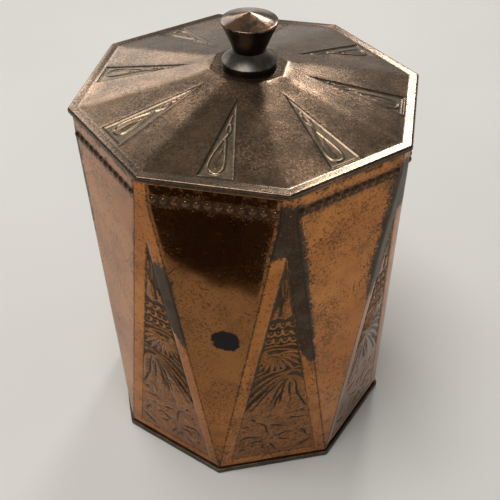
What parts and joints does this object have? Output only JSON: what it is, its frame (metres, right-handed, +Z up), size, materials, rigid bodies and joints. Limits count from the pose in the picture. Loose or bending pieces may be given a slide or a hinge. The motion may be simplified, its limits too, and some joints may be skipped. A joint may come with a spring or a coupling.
{
  "type": "tea caddy",
  "caption": "Eight-sided copper tea caddy: folded body with embossed panels and beads, dark foot rim, and a lift-off roofed lid with an inner collar and a turned knob.",
  "frame": {"origin": "middle of the foot ring's underside, on the surface that the caddy stands on", "axes": "+Z up along the caddy's axis, through the knob; -Y through the middle of the front plain face; the body's seam is at the back, +Y"},
  "size_m": [0.109, 0.109, 0.1577],
  "materials": {
    "body_copper": "polished copper with dark pits and grime in the folds",
    "edge_copper": "worn copper, rubbed bright along the edge",
    "dark_bronze": "dark brown-black patina with a hint of green",
    "lid_copper": "mottled brown patina with copper showing through",
    "knob_bronze": "turned, dark brown patina, rubbed copper on top",
    "tinned_sheet": "dull tinned metal",
    "solder": "dull grey solder",
    "fastener_steel": "plain steel, slightly tarnished"
  },
  "bodies": {
    "body": {"body_shell": "body_copper", "mouth_band": "edge_copper", "foot_ring": "dark_bronze", "base_plate": "tinned_sheet", "base_solder": "solder", "seam_solder": "solder"},
    "lid": {"lid_top": "lid_copper", "lid_collar": "tinned_sheet", "collar_solder": "solder", "knob": "knob_bronze", "knob_rose": "knob_bronze", "knob_stud": "fastener_steel", "stud_washer": "fastener_steel", "stud_nut": "fastener_steel"}
  },
  "joints": [
    {"name": "lid_lift", "type": "slide", "parent": "body", "child": "lid", "axis": [0, 0, 1], "range_m": [0, 0.04]}
  ]
}
